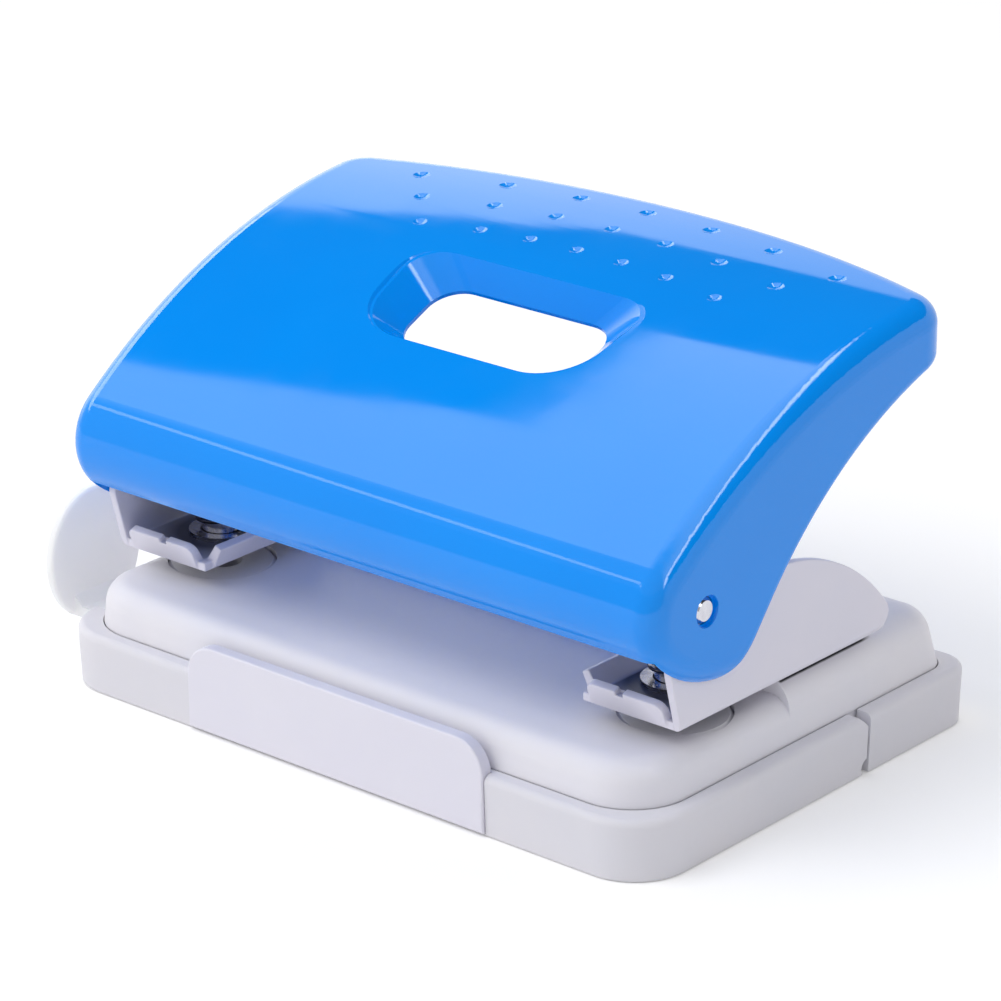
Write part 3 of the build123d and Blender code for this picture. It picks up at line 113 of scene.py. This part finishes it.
class Surface:
    """A material with one Principled shader, and helpers that add detail to it."""

    def __init__(self, name, colour, roughness, **constants):
        self.material = bpy.data.materials.new(name)
        self.material.use_nodes = True
        self.nodes = self.material.node_tree.nodes
        self.links = self.material.node_tree.links
        self.shader = self.nodes["Principled BSDF"]
        self.shader.inputs["Base Color"].default_value = colour
        self.shader.inputs["Roughness"].default_value = roughness
        for socket, value in constants.items():
            self.shader.inputs[socket.replace("_", " ")].default_value = value
        self.place = self.nodes.new("ShaderNodeTexCoord").outputs["Object"]
        self.colour = colour
        self.roughness = roughness

    def noise(self, scale, detail=2.0, stretch=None):
        """Noise in the part's own coordinates; scale is features a metre."""
        texture = self.nodes.new("ShaderNodeTexNoise")
        texture.inputs["Scale"].default_value = scale
        texture.inputs["Detail"].default_value = detail
        place = self.place
        if stretch:
            mapping = self.nodes.new("ShaderNodeMapping")
            mapping.inputs["Scale"].default_value = stretch
            self.links.new(place, mapping.inputs["Vector"])
            place = mapping.outputs["Vector"]
        self.links.new(place, texture.inputs["Vector"])
        return texture.outputs["Fac"]

    def ramp(self, source, low, high, start, end):
        """Map a source from start and end to low and high."""
        node = self.nodes.new("ShaderNodeMapRange")
        node.inputs["From Min"].default_value = start
        node.inputs["From Max"].default_value = end
        node.inputs["To Min"].default_value = low
        node.inputs["To Max"].default_value = high
        self.links.new(source, node.inputs["Value"])
        return node.outputs["Result"]

    def vary_colour(self, source, other):
        """Drift between the base colour and another along a noise."""
        node = self.nodes.new("ShaderNodeMix")
        node.data_type = "RGBA"
        node.inputs["A"].default_value = self.colour
        node.inputs["B"].default_value = other
        self.links.new(self.ramp(source, 0.0, 1.0, *NOISE_SPAN), node.inputs["Factor"])
        self.links.new(node.outputs["Result"], self.shader.inputs["Base Color"])

    def math(self, operation, *values):
        node = self.nodes.new("ShaderNodeMath")
        node.operation = operation
        for socket, value in zip(node.inputs, values):
            if isinstance(value, float):
                socket.default_value = value
            else:
                self.links.new(value, socket)
        return node.outputs[0]

    def axes(self):
        """The three coordinates of a point in the part's own frame."""
        parts = self.nodes.new("ShaderNodeSeparateXYZ")
        self.links.new(self.place, parts.inputs[0])
        return parts.outputs

    def painted_bracket_inside_shade(self):
        """How much shade is painted inside the brackets, standing in for the shade under the handle: most by
        the cutters, none outside the brackets' walls and lips.
        """
        x, y, _ = self.axes()
        out = self.math("ABSOLUTE", x)
        side = self.math("POWER", self.math("SUBTRACT", out, CUTTER_X), 2.0)
        along = self.math("POWER", self.math("SUBTRACT", y, CUTTER_Y), 2.0)
        away = self.math("SQRT", self.math("ADD", side, along))
        inside_shade = self.ramp(away, 1.0, 0.0, *BRACKET_INSIDE_SHADE_REACH)
        inside_shade = self.math("MULTIPLY", inside_shade, self.ramp(out, 0.0, 1.0, *BRACKET_INSIDE_SHADE_INNER_EDGE))
        return self.math("MULTIPLY", inside_shade, self.ramp(out, 1.0, 0.0, *BRACKET_INSIDE_SHADE_OUTER_EDGE))

    def painted_under_bracket_shadow(self):
        """The strips of the deck under the brackets' side plates, where a dark shadow is painted in for the
        shade in the gap.
        """
        x, y, z = self.axes()
        out = self.math("ABSOLUTE", x)
        under_shadow = self.ramp(out, 0.0, 1.0, *UNDER_BRACKET_SHADOW_INNER_EDGE)
        under_shadow = self.math("MULTIPLY", under_shadow, self.ramp(out, 1.0, 0.0, *UNDER_BRACKET_SHADOW_OUTER_EDGE))
        under_shadow = self.math("MULTIPLY", under_shadow, self.ramp(y, 0.0, 1.0, *UNDER_BRACKET_SHADOW_FRONT))
        under_shadow = self.math("MULTIPLY", under_shadow, self.ramp(y, 1.0, 0.0, *UNDER_BRACKET_SHADOW_REAR))
        return self.math("MULTIPLY", under_shadow, self.ramp(z, 0.0, 1.0, *UNDER_BRACKET_SHADOW_LOW))

    def darken(self, amount, other):
        """Drift from the colour made so far to another one."""
        made = self.shader.inputs["Base Color"].links[0].from_socket
        node = self.nodes.new("ShaderNodeMix")
        node.data_type = "RGBA"
        node.inputs["B"].default_value = other
        self.links.new(made, node.inputs["A"])
        self.links.new(amount, node.inputs["Factor"])
        self.links.new(node.outputs["Result"], self.shader.inputs["Base Color"])

    def vary_roughness(self, source, spread):
        """Drift between two shares of the roughness along a noise."""
        low, high = (self.roughness * share for share in spread)
        self.links.new(self.ramp(source, low, high, *NOISE_SPAN), self.shader.inputs["Roughness"])

    def bump(self, source, strength, distance):
        node = self.nodes.new("ShaderNodeBump")
        node.inputs["Strength"].default_value = strength
        node.inputs["Distance"].default_value = distance
        self.links.new(source, node.inputs["Height"])
        self.links.new(node.outputs["Normal"], self.shader.inputs["Normal"])


def gloss_plastic(name, colour, other, roughness):
    """Polished moulding: an almost mirror-like skin with the faintest orange peel."""
    surface = Surface(name, colour, roughness, IOR=GLOSS_IOR)
    surface.vary_colour(surface.noise(GLOSS_DRIFT), other)
    surface.vary_roughness(surface.noise(GLOSS_SMEAR, detail=3.0), GLOSS_SPREAD)
    surface.bump(surface.noise(GLOSS_PEEL, detail=1.0), GLOSS_PEEL_STRENGTH, SKIN_HEIGHT)
    return surface.material


def milky_plastic(name, colour, other, roughness, depth, weight=MILKY_WEIGHT, shaded_under_brackets=False):
    """Soft white moulding that lets a little light in, with a fine spark-eroded skin, and where asked a
    painted dark shadow under the brackets.
    """
    surface = Surface(name, colour, roughness, IOR=MILKY_IOR, Subsurface_Weight=weight, Subsurface_Scale=depth)
    surface.shader.inputs["Subsurface Radius"].default_value = MILKY_RADIUS
    surface.vary_colour(surface.noise(MILKY_DRIFT), other)
    if shaded_under_brackets:
        # Painted shadow: a near-black strip on the deck under the brackets' side plates
        surface.darken(surface.painted_under_bracket_shadow(), UNDER_BRACKET_SHADOW_COLOUR)
    surface.vary_roughness(surface.noise(MILKY_SMEAR, detail=3.0), MILKY_SPREAD)
    surface.bump(surface.noise(MILKY_GRAIN), MILKY_GRAIN_STRENGTH, SKIN_HEIGHT)
    return surface.material


def paint(name, colour, other, roughness):
    """Powder paint on steel: satin, with a fine pebble, and darkened round the cutters by painted shade inside
    the brackets.
    """
    surface = Surface(name, colour, roughness, IOR=PAINT_IOR)
    surface.vary_colour(surface.noise(PAINT_DRIFT), other)
    # Painted shade: the paint turns dark inside the brackets round the cutters, where the handle shades them
    surface.darken(surface.painted_bracket_inside_shade(), BRACKET_INSIDE_SHADE_COLOUR)
    surface.vary_roughness(surface.noise(PAINT_SMEAR, detail=3.0), PAINT_SPREAD)
    surface.bump(surface.noise(PAINT_PEBBLE), PAINT_PEBBLE_STRENGTH, SKIN_HEIGHT)
    return surface.material


def metal(name, colour, other, roughness, stretch):
    """Bare steel with fine marks that run along one way."""
    surface = Surface(name, colour, roughness, Metallic=1.0)
    grain = surface.noise(METAL_GRAIN, detail=3.0, stretch=stretch)
    surface.vary_colour(grain, other)
    surface.vary_roughness(grain, METAL_SPREAD)
    surface.bump(grain, METAL_GRAIN_STRENGTH, METAL_GRAIN_HEIGHT)
    return surface.material


ACROSS = (8.0, 1.0, 1.0)
UPRIGHT = (1.0, 1.0, 8.0)
EVEN = (1.0, 1.0, 1.0)
LOOKS = {
    "blue_plastic": gloss_plastic(
        "blue_gloss", linear(0, 146, 250), linear(0, 144, 248), roughness=0.05),
    # The base's white carries a painted shadow strip under the brackets
    "white_plastic": milky_plastic(
        "milky_white", linear(234, 232, 238), linear(231, 230, 238), roughness=0.46, depth=1.2 * MM,
        shaded_under_brackets=True),
    "white_tray": milky_plastic(
        "tray_white", linear(226, 224, 230), linear(223, 222, 229), roughness=0.52, depth=1.2 * MM),
    "white_tab": milky_plastic(
        "tab_white", linear(230, 228, 238), linear(228, 226, 237), roughness=0.42, depth=0.6 * MM),
    "white_guide": milky_plastic(
        "guide_white", linear(246, 246, 247), linear(243, 243, 245), roughness=0.35, depth=2.5 * MM,
        weight=1.0),
    "painted_steel": paint(
        "grey_paint", linear(230, 227, 239), linear(227, 225, 238), roughness=0.36),
    "steel": metal(
        "turned_steel", linear(190, 190, 198), linear(168, 168, 178), roughness=0.24, stretch=UPRIGHT),
    "spring_steel": metal(
        "spring_wire", linear(96, 96, 108), linear(74, 74, 88), roughness=0.16, stretch=EVEN),
    "bright_steel": metal(
        "bright_steel", linear(222, 222, 228), linear(206, 206, 214), roughness=0.16, stretch=ACROSS),
}

for node in nodes.values():
    for slot in node.material_slots:
        found = [key for key in LOOKS if slot.material and slot.material.name.startswith(key)]
        if found:
            slot.material = LOOKS[max(found, key=len)]


# ---------------------------------------------------------------- soft edges

FOLD_ROUND = 0.2 * MM
FOLD_STEPS = 3
FOLD_ANGLE = math.radians(28)
FLAT_ANGLE = math.radians(0.5)
SAME_POINT = 0.002 * MM


def soften(piece):
    """Round the sharp edges of a pressed and painted piece."""
    weld = piece.modifiers.new("joined_faces", "WELD")
    weld.merge_threshold = SAME_POINT
    flat = piece.modifiers.new("whole_faces", "DECIMATE")
    flat.decimate_type = "DISSOLVE"
    flat.angle_limit = FLAT_ANGLE
    bevel = piece.modifiers.new("soft_edges", "BEVEL")
    bevel.width = FOLD_ROUND
    bevel.segments = FOLD_STEPS
    bevel.limit_method = "ANGLE"
    bevel.angle_limit = FOLD_ANGLE
    bevel.use_clamp_overlap = False


for name in ("left_bracket", "right_bracket"):
    soften(nodes[name])


# ---------------------------------------------------------------- return springs

WIRE = 0.325 * MM
COIL_RADIUS = 3.25 * MM
COIL_TURNS = 3.75
COIL_STEPS = 48
COIL_SIDES = 14


def coil(name, centre, low, high):
    """A wound wire as one closed tube, with flat closed ends."""
    count = round(COIL_TURNS * COIL_STEPS)
    points = []
    faces = []
    for index in range(count + 1):
        turn = 2 * math.pi * index / COIL_STEPS
        height = low + (high - low) * index / count
        out = Vector((math.cos(turn), math.sin(turn), 0))
        middle = Vector((*centre, height)) + out * COIL_RADIUS
        for side in range(COIL_SIDES):
            angle = 2 * math.pi * side / COIL_SIDES
            points.append(middle + out * (WIRE * math.cos(angle)) + Vector((0, 0, WIRE * math.sin(angle))))
    for index in range(count):
        for side in range(COIL_SIDES):
            a = index * COIL_SIDES + side
            b = index * COIL_SIDES + (side + 1) % COIL_SIDES
            faces.append((a, b, b + COIL_SIDES, a + COIL_SIDES))
    faces.append(tuple(range(COIL_SIDES)))
    faces.append(tuple(reversed(range(count * COIL_SIDES, (count + 1) * COIL_SIDES))))
    mesh = bpy.data.meshes.new(name)
    mesh.from_pydata(points, [], faces)
    mesh.validate()
    for polygon in mesh.polygons:
        polygon.use_smooth = len(polygon.vertices) == 4
    mesh.materials.append(LOOKS["spring_steel"])
    obj = bpy.data.objects.new(name, mesh)
    scene.collection.objects.link(obj)
    return obj


for side in ("left", "right"):
    low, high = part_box(side + "_spring")
    pin_low, pin_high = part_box(side + "_punch_pin")
    centre = ((pin_low[0] + pin_high[0]) / 2, (pin_low[1] + pin_high[1]) / 2)
    spring = coil(side + "_coil", centre, low[2] + WIRE, high[2] - WIRE)
    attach(spring, "base")
    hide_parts(side + "_spring")
    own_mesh(spring)


# ---------------------------------------------------------------- floor

FLOOR_COLOUR = (0.93, 0.93, 0.94, 1.0)
FLOOR_GLOW = 0.18
FLOOR_REACH = 3.0
FLOOR_SINK = 0.2 * MM


def floor_material():
    """Pale floor that takes the shadow, and shows as near white to the eye and in gloss."""
    material = bpy.data.materials.new("floor_pale")
    material.use_nodes = True
    tree = material.node_tree
    tree.nodes.clear()
    diffuse = tree.nodes.new("ShaderNodeBsdfDiffuse")
    diffuse.inputs["Color"].default_value = FLOOR_COLOUR
    glow = tree.nodes.new("ShaderNodeEmission")
    path = tree.nodes.new("ShaderNodeLightPath")
    seen = tree.nodes.new("ShaderNodeMath")
    seen.operation = "MAXIMUM"
    tree.links.new(path.outputs["Is Camera Ray"], seen.inputs[0])
    tree.links.new(path.outputs["Is Glossy Ray"], seen.inputs[1])
    through = tree.nodes.new("ShaderNodeMath")
    through.operation = "MAXIMUM"
    tree.links.new(seen.outputs[0], through.inputs[0])
    tree.links.new(path.outputs["Is Transmission Ray"], through.inputs[1])
    level = tree.nodes.new("ShaderNodeMath")
    level.operation = "MULTIPLY"
    level.inputs[1].default_value = FLOOR_GLOW
    tree.links.new(through.outputs[0], level.inputs[0])
    tree.links.new(level.outputs[0], glow.inputs["Strength"])
    add = tree.nodes.new("ShaderNodeAddShader")
    tree.links.new(diffuse.outputs[0], add.inputs[0])
    tree.links.new(glow.outputs[0], add.inputs[1])
    out = tree.nodes.new("ShaderNodeOutputMaterial")
    tree.links.new(add.outputs[0], out.inputs["Surface"])
    return material


floor_mesh = bpy.data.meshes.new("floor")
corners = [(x * FLOOR_REACH, y * FLOOR_REACH, 0) for x, y in ((-1, -1), (1, -1), (1, 1), (-1, 1))]
floor_mesh.from_pydata(corners, [], [(0, 1, 2, 3)])
floor_mesh.materials.append(floor_material())
floor = bpy.data.objects.new("floor", floor_mesh)
floor.location.z = -FLOOR_SINK
scene.collection.objects.link(floor)


# ---------------------------------------------------------------- light

# Studio levels, where 1 is white; places are parts of a direction of length 1
AMBIENT = 0.78
AMBIENT_FALL = 0.34
AMBIENT_MOST = 0.80
RIPPLE_DETAIL = 1.5
NOISE_MIDDLE = 0.5
BAND_LEVEL = 0.05
WALL_TOP = 0.445
WALL_BREAK = -0.603
WALL_CLIMB = 2.6
WALL_CLIMB_MOST = 0.2
WALL_FADE = (-0.68, -0.55)
WALL_LEVELS = (1.9, 1.0)
WALL_BLUR = 0.006
WALL_RIPPLE_SCALE = 11.0
WALL_RIPPLE = 0.05
WALL_FRONT = (-0.3, 0.1)
WALL_FRONT_SHARE = 0.3
PANEL_LEVEL = 2.1
PANEL_START = -0.645
PANEL_SLANT = 2.0
PANEL_JUMP = (-0.612, -0.588)
PANEL_JUMP_DEPTH = 0.3
PANEL_BLUR = 0.012
PANEL_RIPPLE_SCALE = 7.0
PANEL_RIPPLE = 0.12
PANEL_FRONT_SHARE = 0.3
PANEL_END = (0.30, 0.42)
STRIP_SLANT = 1.72
STRIP_START = (0.32, 0.42)
STRIP_END = (0.50, 0.64)
STRIP_NEAR = (-0.42, -0.32)
STRIP_FADE = (0.35, 0.70)
STRIP_LEVEL = 9.0
LEFT_STRIP = (-0.74, -0.70)
LEFT_STRIP_LEVEL = 5.0
OVERHEAD = (0.40, 0.50)
FRONT_LEVEL = 0.45
FRONT_FADE = (-0.34, -0.18)


def studio_world():
    """Plain ambient light, white to the eye, and in gloss a room with a dark band under its ceiling."""
    world = bpy.data.worlds.new("studio")
    world.use_nodes = True
    tree = world.node_tree
    links = tree.links

    def math_node(operation, first, second):
        node = tree.nodes.new("ShaderNodeMath")
        node.operation = operation
        for socket, value in zip(node.inputs, (first, second)):
            if isinstance(value, float):
                socket.default_value = value
            else:
                links.new(value, socket)
        return node.outputs[0]

    def step(source, start, end, low, high):
        node = tree.nodes.new("ShaderNodeMapRange")
        node.interpolation_type = "SMOOTHSTEP"
        for socket, value in zip(("From Min", "From Max", "To Min", "To Max"), (start, end, low, high)):
            node.inputs[socket].default_value = value
        links.new(source, node.inputs["Value"])
        return node.outputs["Result"]

    way = tree.nodes.new("ShaderNodeTexCoord").outputs["Generated"]
    parts = tree.nodes.new("ShaderNodeSeparateXYZ")
    links.new(way, parts.inputs[0])
    across, depth, height = parts.outputs

    def ripple(scale, amount):
        noise = tree.nodes.new("ShaderNodeTexNoise")
        noise.inputs["Scale"].default_value = scale
        noise.inputs["Detail"].default_value = RIPPLE_DETAIL
        links.new(way, noise.inputs["Vector"])
        return math_node("MULTIPLY", math_node("SUBTRACT", noise.outputs["Fac"], NOISE_MIDDLE), amount)

    # The wall behind, whose upper border climbs to the left
    climb = math_node("MULTIPLY", math_node("SUBTRACT", WALL_BREAK, across), WALL_CLIMB)
    climb = math_node("MINIMUM", math_node("MAXIMUM", climb, 0.0), WALL_CLIMB_MOST)
    wall_place = math_node("SUBTRACT", height, climb)
    wall_place = math_node("ADD", wall_place, ripple(WALL_RIPPLE_SCALE, WALL_RIPPLE))
    wall_level = step(across, *WALL_FADE, *WALL_LEVELS)
    wall_level = math_node("MULTIPLY", wall_level, step(depth, *WALL_FRONT, WALL_FRONT_SHARE, 1.0))
    wall = step(wall_place, WALL_TOP - WALL_BLUR, WALL_TOP + WALL_BLUR, 1.0, 0.0)
    wall = math_node("ADD", math_node("MULTIPLY", wall, wall_level), BAND_LEVEL)

    # The wide panel overhead, with a slanting rear border that jumps back at one place
    border = math_node("MULTIPLY", math_node("SUBTRACT", across, PANEL_START), PANEL_SLANT)
    border = math_node("ADD", border, step(across, *PANEL_JUMP, 0.0, PANEL_JUMP_DEPTH))
    panel_place = math_node("SUBTRACT", border, depth)
    panel_place = math_node("ADD", panel_place, ripple(PANEL_RIPPLE_SCALE, PANEL_RIPPLE))
    slant = math_node("ADD", across, math_node("MULTIPLY", depth, STRIP_SLANT))
    panel = step(panel_place, -PANEL_BLUR, PANEL_BLUR, 0.0, PANEL_LEVEL)
    panel = math_node("MULTIPLY", panel, step(slant, *PANEL_END, 1.0, 0.0))
    panel = math_node("MULTIPLY", panel, step(depth, *FRONT_FADE, PANEL_FRONT_SHARE, 1.0))

    # The bright strips at the panel's right end and at the far left
    strip = step(slant, *STRIP_START, 0.0, STRIP_LEVEL)
    strip = math_node("MULTIPLY", strip, step(slant, *STRIP_END, 1.0, 0.0))
    strip = math_node("MULTIPLY", strip, step(depth, *STRIP_FADE, 1.0, 0.0))
    strip = math_node("MULTIPLY", strip, step(across, *STRIP_NEAR, 0.0, 1.0))
    strip = math_node("MAXIMUM", strip, step(across, *LEFT_STRIP, LEFT_STRIP_LEVEL, 0.0))
    overhead = step(height, *OVERHEAD, 0.0, 1.0)
    ceiling = math_node("MULTIPLY", math_node("MAXIMUM", panel, strip), overhead)

    front = step(depth, *FRONT_FADE, FRONT_LEVEL, 0.0)
    room = math_node("MAXIMUM", math_node("MAXIMUM", wall, ceiling), front)
    path = tree.nodes.new("ShaderNodeLightPath")
    mirrored = math_node("MAXIMUM", path.outputs["Is Glossy Ray"], path.outputs["Is Transmission Ray"])
    seen = path.outputs["Is Camera Ray"]
    unseen = math_node("SUBTRACT", 1.0, math_node("MAXIMUM", mirrored, seen))
    ambient = math_node("SUBTRACT", AMBIENT, math_node("MULTIPLY", across, AMBIENT_FALL))
    ambient = math_node("MINIMUM", ambient, AMBIENT_MOST)
    level = math_node("ADD", math_node("MULTIPLY", room, mirrored), math_node("MULTIPLY", unseen, ambient))
    level = math_node("ADD", level, seen)
    background = tree.nodes["Background"]
    background.inputs["Color"].default_value = (1.0, 1.0, 1.0, 1.0)
    links.new(level, background.inputs["Strength"])
    return world


def area_light(name, place, size, power):
    """A soft rectangular lamp that faces the middle of the part."""
    lamp = bpy.data.lights.new(name, "AREA")
    lamp.shape = "RECTANGLE"
    lamp.size, lamp.size_y = size
    lamp.energy = power
    obj = bpy.data.objects.new(name, lamp)
    obj.location = place
    obj.rotation_euler = (Vector(MIDDLE) - Vector(place)).to_track_quat("-Z", "Y").to_euler()
    scene.collection.objects.link(obj)
    return obj


MIDDLE = (0.0, 0.0, 0.03)
scene.world = studio_world()
key = area_light("key_softbox", place=(-0.30, -0.50, 0.82), size=(0.55, 0.55), power=3.0)
key.visible_glossy = False
fill = area_light("right_softbox", place=(0.75, 0.45, 0.55), size=(0.6, 0.6), power=0.5)
fill.visible_glossy = False
area_light("bend_strip", place=(-0.55, -0.46, 0.56), size=(0.6, 0.045), power=0.24)


# ---------------------------------------------------------------- camera

SENSOR_WIDTH = 36.0
FRAME_PIXELS = 1001.0
FOCAL_PIXELS = 4300.0
CAMERA_CLIP = (0.01, 50.0)
CAMERA_PLACE = (0.349842, -0.405228, 0.236976)
CAMERA_AZIMUTH = math.radians(40.907)
CAMERA_ELEVATION = math.radians(21.271)
CAMERA_ROLL = math.radians(-0.366)

camera_data = bpy.data.cameras.new("camera")
camera_data.sensor_width = SENSOR_WIDTH
camera_data.lens = SENSOR_WIDTH * FOCAL_PIXELS / FRAME_PIXELS
camera_data.clip_start, camera_data.clip_end = CAMERA_CLIP
camera = bpy.data.objects.new("camera", camera_data)
flat_reach = math.cos(CAMERA_ELEVATION)
back = Vector((
    math.sin(CAMERA_AZIMUTH) * flat_reach,
    -math.cos(CAMERA_AZIMUTH) * flat_reach,
    math.sin(CAMERA_ELEVATION),
))
level_right = Vector((math.cos(CAMERA_AZIMUTH), math.sin(CAMERA_AZIMUTH), 0.0))
level_up = back.cross(level_right)
right = level_right * math.cos(CAMERA_ROLL) + level_up * math.sin(CAMERA_ROLL)
up = level_up * math.cos(CAMERA_ROLL) - level_right * math.sin(CAMERA_ROLL)
turn = Matrix((right, up, back)).transposed().to_4x4()
camera.matrix_world = Matrix.Translation(CAMERA_PLACE) @ turn
scene.collection.objects.link(camera)
scene.camera = camera
